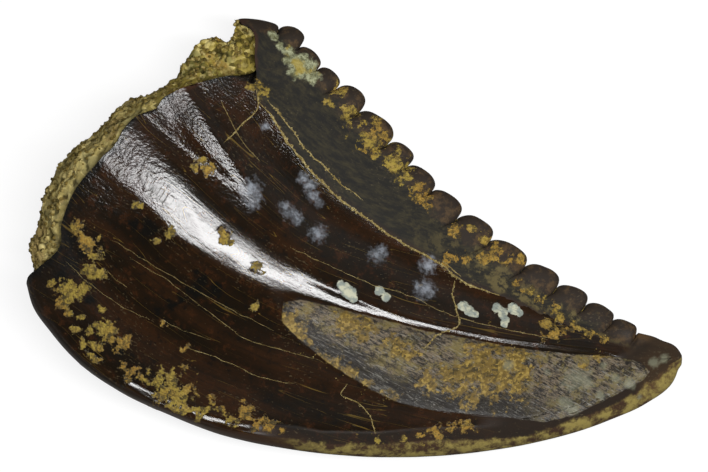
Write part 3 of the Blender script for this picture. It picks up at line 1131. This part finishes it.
class Finish(Sketch):
    """A new material, with its shader and its place in millimetres."""

    def __init__(self, name):
        self.material = bpy.data.materials.new(name)
        self.material.use_nodes = True
        super().__init__(self.material.node_tree)
        self.shader = self.tree.nodes["Principled BSDF"]
        self.place = self.stretch(self.flow("ShaderNodeTexCoord", None, "Object"), (1 / MM,) * 3)

    def patches(self, per_mm, detail=2.0, roughness=0.5):
        """Noise in the tooth's own space, this many patches to a millimetre."""
        return self.noise(self.place, per_mm, detail, roughness)

    def ragged(self, field, per_mm, raggedness, softness):
        return self.use(RAGGED, {"Field": field, "Place": self.place, "Grains per mm": per_mm,
                                 "Raggedness": raggedness, "Softness": softness})["Mask"]

    def sediment(self, light, middle, dark, per_mm):
        return self.use(SEDIMENT, {"Place": self.place, "Light": light, "Middle": middle, "Dark": dark,
                                   "Grains per mm": per_mm})

    def bump(self, height, depth_mm, under=None):
        inputs = {"Height": height, "Strength": 1.0, "Distance": depth_mm * MM}
        return self.flow("ShaderNodeBump", {**inputs, "Normal": under} if under else inputs)

    def give(self, looks):
        """Sets the shader's inputs by name."""
        for label, value in looks.items():
            self.put(self.shader.inputs[label], value)
        print(self.material.name, "nodes:", len(self.tree.nodes))
        return self.material


# %% [markdown]
# ## The enamel
# Old enamel isn't one brown. It is darker and greyer on the flange behind the long crack, red-brown
# towards the front, streaked along the growth, and amber at the tip. Gloss comes from a low roughness,
# and countless fine scratches along the growth break the highlight up, as the photograph shows. We lay
# the colours over each other from the oldest to the newest: enamel, stains, wear, then the crusts and
# spots that grew on top. In every step `mix(share, below, above)` lays a colour over the ones before it,
# where its share isn't 0.

# %% Colours of the enamel
CHOCOLATE, CHESTNUT, SOOT = (0.0100, 0.0056, 0.0021), (0.0300, 0.0120, 0.0038), (0.0050, 0.0042, 0.0030)
RUST, LIP_RED = (0.0480, 0.0165, 0.0050), (0.0400, 0.0140, 0.0050)
FLANGE_DARK, FLANGE_OLIVE, OLIVE_WASH = (0.0050, 0.0040, 0.0018), (0.0350, 0.0278, 0.0100), (0.13, 0.10, 0.033)
DENTICLE_BROWN, KNOB_BROWN = (0.0200, 0.0110, 0.0048), (0.0850, 0.0480, 0.0170)
UNDER_BROWN, STRIP_BROWN, KEEL_OLIVE = (0.015, 0.008, 0.003), (0.050, 0.022, 0.008), (0.300, 0.235, 0.062)
WORN_DARK, WORN_GREY, WORN_OLIVE = (0.013, 0.010, 0.008), (0.215, 0.168, 0.110), (0.230, 0.180, 0.062)
WORN_SPECK, DUST = (0.30, 0.29, 0.25), (0.110, 0.085, 0.045)
AMBER, SMEAR = (0.190, 0.100, 0.032), (0.30, 0.31, 0.21)
OCHRE_LIGHT, OCHRE_MIDDLE, OCHRE_DARK = (0.42, 0.29, 0.065), (0.190, 0.122, 0.024), (0.045, 0.034, 0.010)
PALE, PALE_SHADE, HAZE_BLUE = (0.62, 0.62, 0.46), (0.30, 0.34, 0.30), (0.40, 0.44, 0.50)
STAR_DARK, STAR_PALE = (0.13, 0.13, 0.055), (0.44, 0.46, 0.28)
CRUST_ORANGE, CRUST_YELLOW = (0.42, 0.235, 0.030), (0.41, 0.305, 0.045)

# %% Enamel: brown body, flange and denticles
enamel = Finish("fossil_enamel")
mix, mix_number, fact = enamel.mix, enamel.mix_number, enamel.fact
patches, ragged = enamel.patches, enamel.ragged
growth_map = enamel.flow("ShaderNodeUVMap", uv_map="growth")
x = enamel.flow("ShaderNodeSeparateXYZ", {0: enamel.place})


def streaks(along, across, shift=0.0):
    values = {"Growth": growth_map, "Along": along, "Across": across, "Shift": shift}
    return enamel.use(STREAKS, values)["Streaks"]


reddish = (streaks(0.35, 2.2) + patches(0.7) * 0.5).ramp(0.62, 0.95)
color = mix(reddish, CHOCOLATE, CHESTNUT)
fine = streaks(0.8, 16.0, 3.0)
color = mix(fine.ramp(0.5, 0.75, 0.0, 0.6), color, SOOT)
blotches = patches(5.0, 6.0, 0.75)
color = mix(blotches.ramp(0.52, 0.66, 0.0, 0.7), color, RUST)
color = mix(blotches.ramp(0.34, 0.46, 0.8, 0.0), color, SOOT)
height = fine * 0.35

flange = ragged(fact("flange") - 0.04, 5.0, 0.16, 0.06)
mottled = enamel.drawn_out(growth_map, 3.5, 11.0, 6.0, 0.75).ramp(0.40, 0.68)
color = mix(flange, color, mix(mottled, FLANGE_DARK, FLANGE_OLIVE))
olive = flange * x.ramp(0.3, 2.6) * patches(4.5, 6.0, 0.75).ramp(0.5, 0.6)
color = mix(olive, color, OLIVE_WASH)
knobs = ragged(fact("edge") - 0.42, 5.0, 1.5, 0.25)
color = mix(knobs, color, mix(patches(6.0, 6.0, 0.75).ramp(0.46, 0.66), DENTICLE_BROWN, KNOB_BROWN))
color = mix(fact("sulcus").ramp(0.35, 0.9, 0.0, 0.9), color, SOOT)

# The enamel is least polished near the rim, and the flange hardly shines at all
polish = fact("u") + patches(3.0, 3.0) * 0.06
roughness = mix_number(flange.ramp(0.02, 0.12), polish.ramp(0.04, 0.16, 0.27, 0.15), 0.8)
print("colours laid: body, flange and denticles")

# %% Enamel: stains, rim, tip and hairlines
color = mix(ragged(fact("stain"), 9.0, 4.0, 0.5), color, SOOT)
broken = (fact("u") + patches(5.0) * 0.010).ramp(0.009, 0.017, 1.0, 0.0)
lip_color = mix(x.ramp(-3.4, -2.9) * patches(1.8).ramp(0.42, 0.58), SOOT, LIP_RED)
color = mix(broken, color, lip_color)
color = mix((x + patches(2.0) * 0.8).ramp(4.55, 5.1), color, AMBER)
roughness = mix_number(x.ramp(3.9, 4.3), roughness, 0.6)
hairlines = enamel.use(HAIRLINES, {"Growth": growth_map, "Along": 0.45, "Across": 7.0, "Width": 0.0045})
color = mix(hairlines["Mask"] * (0.65 - flange), color, OCHRE_MIDDLE)
print("colours laid: stains, rim, tip and hairlines")

# %% Enamel: keel and dust
# The strip and the band lie outside the keel's line, one near the base and one near the tip
keel = fact("keel")
strip = keel.ramp(0.03, 0.06) * x.ramp(-3.3, -2.6)
color = mix(strip * 0.8, color, STRIP_BROWN)
band = ragged(keel - 0.05, 7.0, 0.16, 0.03) * x.ramp(-1.5, -0.4)
color = mix(band * patches(4.0, 5.0, 0.7).ramp(0.4, 0.62), color, KEEL_OLIVE)
dull_keel = abs(keel + 0.03).ramp(0.07, 0.16, 1.0, 0.0) * x.ramp(-1.8, -1.0)
roughness = mix_number(band.most(dull_keel), roughness, 0.95)
under_tip = keel.ramp(-0.62, -0.42) * x.ramp(1.6, 2.4)
roughness = mix_number(under_tip, roughness, 0.95)
color = mix(under_tip * (0.85 - band), color, UNDER_BROWN)
grit = enamel.drawn_out(growth_map, 18.0, 34.0, 2.0, 0.6)
dust = (grit - patches(1.3, 3.0).ramp(0.38, 0.66, 0.70, 0.60)).ramp(0.0, 0.05)
color = mix(dust * 0.5, color, DUST)
print("colours laid: keel and dust")

# %% Enamel: the worn facet
score_map = enamel.flow("ShaderNodeMapping", {"Vector": enamel.place, "Rotation": (0.0, 0.0, -SCORE_TURN)})


def scored(along, across, detail, grain):
    """Strokes along the scratches of the facet."""
    return enamel.drawn_out(score_map, along, across, detail, grain)


scratched_noise = scored(8.0, 30.0, 6.0, 0.8)
worn = mix(scratched_noise.ramp(0.45, 0.55), WORN_DARK, WORN_GREY)
worn = mix(patches(4.0, 6.0, 0.75).ramp(0.48, 0.58, 0.0, 0.85), worn, WORN_OLIVE)
lower = fact("facet_share") + (scored(3.0, 12.0, 5.0, 0.75) * 0.8 - 0.15)
lower = lower.ramp(0.44, 0.74, 1.0, 0.0) * x.ramp(2.4, 3.2, 1.0, 0.3)
worn = mix(lower * 0.94, worn, WORN_DARK)
worn = mix(patches(3.2, 6.0, 0.75).ramp(0.40, 0.47, 0.85, 0.0), worn, WORN_DARK)
worn = mix(scored(22.0, 40.0, 3.0, 0.7).ramp(0.60, 0.70, 0.0, 0.8), worn, WORN_SPECK)
worn = mix(scored(4.0, 40.0, 4.0, 0.7).ramp(0.56, 0.66, 0.0, 0.7), worn, WORN_SPECK)
worn = mix(scored(9.0, 16.0, 6.0, 0.85).ramp(0.36, 0.47, 0.85, 0.0), worn, WORN_DARK)
sediment = enamel.sediment(OCHRE_LIGHT, OCHRE_MIDDLE, OCHRE_DARK, 27.0)
worn = mix(ragged(fact("facet_ochre"), 7.0, 6.0, 0.35), worn, sediment["Color"])
facet = ragged(fact("facet"), 10.0, 0.05, 0.012)
color = mix(facet, color, worn)
roughness = mix_number(facet, roughness, 0.36)
height = mix_number(facet, height, scratched_noise * 1.6)
print("colours laid: facet")

# %% Enamel: haze, crusts and spots
smears = ragged(fact("smear") - 0.1, 6.0, 3.0, 0.6)
color = mix(smears * 0.5, color, SMEAR)
haze = ragged(fact("haze") - 0.25, 13.0, 3.2, 0.9) * patches(7.0, 5.0, 0.7).ramp(0.38, 0.6, 0.3, 0.75)
color = mix(haze, color, HAZE_BLUE)
roughness = mix_number(haze, roughness, 0.5)

in_grooves = ragged(fact("sulcus").times_plus(1.6, -1.35), 7.0, 1.6, 0.25)
crust = ragged(fact("ochre"), 7.0, 7.0, 0.3).most(in_grooves)
tint = mix(patches(1.1).ramp(0.42, 0.58), CRUST_ORANGE, CRUST_YELLOW)
tinted = patches(16.0, 4.0, 0.7).ramp(0.42, 0.60, 0.15, 0.85) * 0.9
grime = patches(8.0, 6.0, 0.8).ramp(0.41, 0.50, 0.85, 0.0)
color = mix(crust, color, mix(grime, mix(tinted, sediment["Color"], tint), OCHRE_DARK))
star = ragged(fact("star"), 9.0, 2.2, 0.35)
star_color = mix(patches(9.0, 5.0, 0.7).ramp(0.38, 0.62), STAR_DARK, STAR_PALE)
star_color = mix(patches(4.2, 3.0).ramp(0.52, 0.64, 0.0, 0.8), star_color, CRUST_YELLOW)
color = mix(star, color, star_color)
pale = ragged(fact("pale"), 11.0, 1.3, 0.08)
color = mix(pale, color, mix(patches(9.0, 4.0).ramp(0.4, 0.62), PALE_SHADE, PALE))
covered = crust.most(star.most(pale))
roughness = mix_number(covered, roughness, 0.85)
height = mix_number(covered, height, sediment["Height"] * 2.0)
print("colours laid: haze, crusts and spots")

# %% Enamel: scratches
# Near the rim the scratches are deeper and glint. Crusts and the facet have none of these
growth_across = enamel.flow("ShaderNodeSeparateXYZ", {0: growth_map}, 1)
unpolished = (polish - growth_across.ramp(0.2, 0.45, 0.0, 0.12)).ramp(0.03, 0.22, 3.4, 0.0)
scratches = enamel.drawn_out(growth_map, 18.0, 34.0, 3.0, 0.6) * 0.6
scratches = scratches + enamel.drawn_out(growth_map, 17.0, 26.0, 2.0, 0.5) * unpolished
scratches = scratches * flange.times_plus(-0.6, 1.0) * (1.0 - covered.most(facet))
ENAMEL = enamel.give({
    "Normal": enamel.bump(height, 0.008, enamel.bump(scratches, 0.0032)),
    "Base Color": color, "Roughness": roughness, "IOR": 1.52,
})
crown.data.materials.append(ENAMEL)

# %% [markdown]
# ## Sandstone, grains and crack fillings
# Sandstone is matt, yellow and full of dark gaps. The gaps are where the grain domes of its mesh are low,
# so the mesh's own attributes darken them. Loose grains take a tone each, from the attribute that the
# nodes gave them.

# %% Sandstone finishes
SAND_LIGHT, SAND_MIDDLE, SAND_DARK = (0.86, 0.72, 0.28), (0.40, 0.31, 0.065), (0.08, 0.062, 0.014)
SAND_RUST, SAND_MOSS, SAND_BLEACHED = (0.36, 0.20, 0.035), (0.15, 0.15, 0.050), (0.74, 0.62, 0.30)
SAND_GAPS = (0.022, 0.018, 0.006)


def sandstone_finish():
    finish = Finish("yellow_sandstone")
    sediment = finish.sediment(SAND_LIGHT, SAND_MIDDLE, SAND_DARK, 14.0)
    color = finish.mix(finish.patches(2.6, 4.0, 0.6).ramp(0.54, 0.64, 0.0, 0.7), sediment["Color"], SAND_RUST)
    color = finish.mix(finish.patches(1.9, 4.0, 0.6).ramp(0.36, 0.46, 0.6, 0.0), color, SAND_MOSS)
    x = finish.flow("ShaderNodeSeparateXYZ", {0: finish.place})
    color = finish.mix(x.ramp(-3.6, -2.6, 0.35, 0.0), color, SAND_BLEACHED)
    gaps = finish.fact("dome").ramp(0.15, 0.75, 0.75, 0.0).most(finish.fact("pit") * 0.6)
    relief = finish.patches(40.0, 3.0, 0.7) + sediment["Height"]
    return finish.give({
        "Base Color": finish.mix(gaps, color, SAND_GAPS), "Roughness": 0.92, "Specular IOR Level": 0.12,
        "Normal": finish.bump(relief, 0.012),
    })


def grain_finish(name, dark, middle, light):
    finish = Finish(name)
    tone = finish.patches(3.0).times_plus(0.5, finish.fact("tone") * 0.6)
    color = finish.mix(tone.ramp(0.15, 0.5), dark, middle)
    return finish.give({
        "Base Color": finish.mix(tone.ramp(0.55, 0.85), color, light), "Roughness": 0.8,
        "Specular IOR Level": 0.2, "Normal": finish.bump(finish.patches(60.0), 0.004),
    })


sand.data.materials.append(sandstone_finish())
SAND_GRAINS = grain_finish("sand_grains", (0.05, 0.04, 0.010), (0.21, 0.15, 0.036), (0.42, 0.33, 0.12))
CRACK_FILL = grain_finish("crack_filling", (0.11, 0.08, 0.020), (0.30, 0.22, 0.075), (0.50, 0.42, 0.20))

# %% Grains on the sandstone and on the crusts
SCATTER = scatter_tree()
sand_allowed = smooth_step(0.5, 0.9, read(sand_mesh, "loose")) * (1 - pits)
store(sand_mesh, "grains", sand_allowed)
piece("sandstone_grains", grown("sandstone_grains", sand_mesh, SCATTER, {
    "Grains per square mm": 150.0, "Smallest": 0.02, "Largest": 0.055, "Sink": 0.2, "Seed": 3,
    "Finish": SAND_GRAINS,
}))
crumbly = np.maximum(fields["ochre"], fields["facet_ochre"] * 0.7)
crumb_allowed = smooth_step(-0.1, 0.6, crumbly) * (1 - hollow)
crumb_allowed += 0.5 * smooth_step(0.6, 0.95, fields["sulcus"]) * top
store(crown_mesh, "grains", crumb_allowed)
piece("crust_crumbs", grown("crust_crumbs", crown_mesh, SCATTER, {
    "Grains per square mm": 160.0, "Smallest": 0.006, "Largest": 0.020, "Sink": 0.4, "Seed": 5,
    "Finish": SAND_GRAINS,
}))

# %% [markdown]
# ## Fillings in the cracks
# Cracks opened in the enamel and pale sediment filled them. Each follows a path that was measured on the
# tooth and is laid on the surface by a ray from the camera. Geometry Nodes turn the paths into threads:
# noise makes a thread thicker and thinner and lets it wander, and crumbs sit along it, so that it doesn't
# look like a wire.

# %% Threads of filling
THREAD_STEP = 0.02
WANDER, WANDERS_PER_MM = 0.022, 6
CRUMB_JITTER = 0.02
THIN_END, THICKENING = 0.3, 8  # a thread's width at its ends, as a share, and how fast it grows from there


def laid_on_crown(line):
    """Points along the line, evenly spaced, where the camera's rays meet the crown."""
    lengths = lengths_along(line)
    flat = curves(lengths, line, np.arange(0.0, lengths[-1], THREAD_STEP))
    turns = [noise.noise_vector(Vector((x * WANDERS_PER_MM, y * WANDERS_PER_MM, 0.0)))[:2] for x, y in flat]
    found = []
    for x, y in flat + np.array(turns) * WANDER:
        target = Vector((x, y, MARK_PLANE))
        hit = crown_tree.ray_cast(Vector(CAMERA) * MM, (target - Vector(CAMERA)).normalized())[0]
        if hit is not None:
            found.append(hit / MM)
    return found


def thread_tree():
    sketch, given, out = new_group("crack_threads", "GeometryNodeTree", {
        **GEOMETRY, "Radius": ("Float", 0.012), "Unevenness": ("Float", 0.9), "Crumb size": ("Float", 0.014),
        "Seed": ("Int", 1), "Finish": ("Material", None),
    }, GEOMETRY)
    paths = sketch.flow("GeometryNodeMeshToCurve", {"Mesh": given["Geometry"]})
    place = sketch.stretch(sketch.flow("GeometryNodeInputPosition"), (1 / MM,) * 3)
    uneven = (sketch.noise(place, 9.0, 3.0) - 0.5).times_plus(given["Unevenness"], 0.5)
    wide = sketch.named("width")
    radius = uneven.most(0.02) * (given["Radius"] * (2 * MM)) * wide
    thick = sketch.flow("GeometryNodeSetCurveRadius", {"Curve": paths, "Radius": radius})
    profile = sketch.flow("GeometryNodeCurvePrimitiveCircle", {"Resolution": 6, "Radius": 1.0}, mode="RADIUS")
    tube = sketch.add("GeometryNodeCurveToMesh", {"Curve": thick, "Profile Curve": profile, "Fill Caps": True})
    if "Scale" in tube.inputs:
        sketch.put(tube.inputs["Scale"], radius)
    smooth = sketch.flow("GeometryNodeSetShadeSmooth", {"Geometry": Flow(sketch, tube.outputs[0])})
    points = sketch.flow("GeometryNodeMeshToPoints", {"Mesh": given["Geometry"]})
    size = sketch.random(seed=given["Seed"]) * (given["Crumb size"] * MM)
    jitter = sketch.random("FLOAT_VECTOR", (-CRUMB_JITTER * MM,) * 3, (CRUMB_JITTER * MM,) * 3)
    moved = sketch.flow("GeometryNodeSetPosition", {"Geometry": points, "Offset": jitter})
    pebble = sketch.flow("GeometryNodeMeshIcoSphere", {"Radius": 1.0, "Subdivisions": 1}, "Mesh")
    crumbs = sketch.flow("GeometryNodeInstanceOnPoints", {
        "Points": moved, "Instance": pebble, "Scale": size * wide})
    both = sketch.add("GeometryNodeJoinGeometry")
    sketch.put(both.inputs[0], smooth)
    sketch.put(both.inputs[0], crumbs)
    real = sketch.flow("GeometryNodeRealizeInstances", {"Geometry": Flow(sketch, both.outputs[0])})
    toned = sketch.store_tone(real, "FACE")
    sketch.put(out["Geometry"], sketch.flow("GeometryNodeSetMaterial", {
        "Geometry": toned, "Material": given["Finish"]}))
    return sketch.tree


crown_tree = BVHTree.FromObject(crown, bpy.context.evaluated_depsgraph_get())
path_points, path_edges, path_widths = [], [], []
for width, line in CRACKS:
    laid = laid_on_crown(line)
    start, last = len(path_points), len(laid) - 1
    path_points += laid
    path_edges += [(start + i, start + i + 1) for i in range(last)]
    from_end = [min(i, last - i) for i in range(len(laid))]
    path_widths += [width * min(1.0, THIN_END + THICKENING * steps / len(laid)) for steps in from_end]
path_mesh = bpy.data.meshes.new("crack_paths")
path_mesh.from_pydata([Vector(point) * MM for point in path_points], path_edges, [])
store(path_mesh, "width", np.array(path_widths))
piece("crack_fillings", grown("crack_fillings", path_mesh, thread_tree(), {
    "Radius": 0.011, "Unevenness": 1.6, "Crumb size": 0.02, "Seed": 2, "Finish": CRACK_FILL,
}))

# %% [markdown]
# ## Table and light
# The tooth lies on a plain white table that looks almost without shadow. To the camera the table is
# bright, but to the tooth it is a dim grey, so that its edges stay dark as in the photograph. One soft
# box above gives the long highlight on the crest, and a dim sky fills the shadows.

# %% Table
TABLE_GLOW, TABLE_CATCH, TABLE_DIM = 0.84, (0.22, 0.22, 0.22), (0.16, 0.15, 0.14)
TABLE_HALF = 400.0
WHITE = (1.0, 1.0, 1.0)


def table_finish():
    finish = Finish("white_table")
    finish.tree.nodes.remove(finish.shader)
    seen = finish.flow("ShaderNodeLightPath", None, "Is Camera Ray")
    dim = finish.flow("ShaderNodeBsdfDiffuse", {"Color": TABLE_DIM})
    catching = finish.flow("ShaderNodeBsdfDiffuse", {"Color": TABLE_CATCH})
    glow = finish.flow("ShaderNodeEmission", {"Color": WHITE, "Strength": TABLE_GLOW})
    bright = finish.flow("ShaderNodeAddShader", {0: catching, 1: glow})
    surface = finish.flow("ShaderNodeMixShader", {0: seen, 1: dim, 2: bright})
    finish.put(finish.tree.nodes["Material Output"].inputs["Surface"], surface)
    return finish.material


table_mesh = bpy.data.meshes.new("table")
corners = [(x * TABLE_HALF, y * TABLE_HALF, 0.0) for x, y in ((-1, -1), (1, -1), (1, 1), (-1, 1))]
table_mesh.from_pydata([Vector(corner) * MM for corner in corners], [], [(0, 1, 2, 3)])
table_mesh.materials.append(table_finish())
table = placed("table", table_mesh)
print("table, mm:", 2 * TABLE_HALF)

# %% Light
TARGET = Vector((-0.8, -0.6, 1.8)) * MM
BOX_PLACE, BOX_SIZE, BOX_TURN, BOX_RADIANCE = (14.0, -0.6, 60.0), (46.0, 10.0), math.radians(-12), 25.0
SKY_LOW, SKY_HIGH = 0.26, 0.05  # how bright the sky is for the tooth, near the table's level and overhead


def soft_box(name, place, size, turn, radiance):
    """An oblong light that looks at the tooth, its long side turned this far from +X."""
    light = bpy.data.lights.new(name, "AREA")
    light.shape = "RECTANGLE"
    light.size, light.size_y = size[0] * MM, size[1] * MM
    light.energy = radiance * math.pi * light.size * light.size_y
    made = placed(name, light)
    made.location = Vector(place) * MM
    back = (made.location - TARGET).normalized()
    side = back.cross(Vector((math.cos(turn), math.sin(turn), 0.0))).normalized()
    made.rotation_euler = Matrix((side.cross(back), side, back)).transposed().to_euler()
    made.visible_camera = False


def sky():
    world = bpy.data.worlds.new("studio")
    world.use_nodes = True
    bpy.context.scene.world = world
    sketch = Sketch(world.node_tree)
    up = sketch.flow("ShaderNodeSeparateXYZ", {0: sketch.flow("ShaderNodeTexCoord", None, "Generated")}, 2)
    seen = sketch.flow("ShaderNodeLightPath", None, "Is Camera Ray")
    background = world.node_tree.nodes["Background"]
    strength = sketch.mix_number(seen, up.ramp(0.1, 0.8, SKY_LOW, SKY_HIGH), 1.0)
    sketch.put(background.inputs["Strength"], strength)
    sketch.put(background.inputs["Color"], WHITE)


soft_box("long_soft_box", BOX_PLACE, BOX_SIZE, BOX_TURN, BOX_RADIANCE)
sky()
bpy.context.scene.view_settings.view_transform = "Standard"

# %% [markdown] ## Last checks The looks have to fill the solid tooth's box and stay inside it.
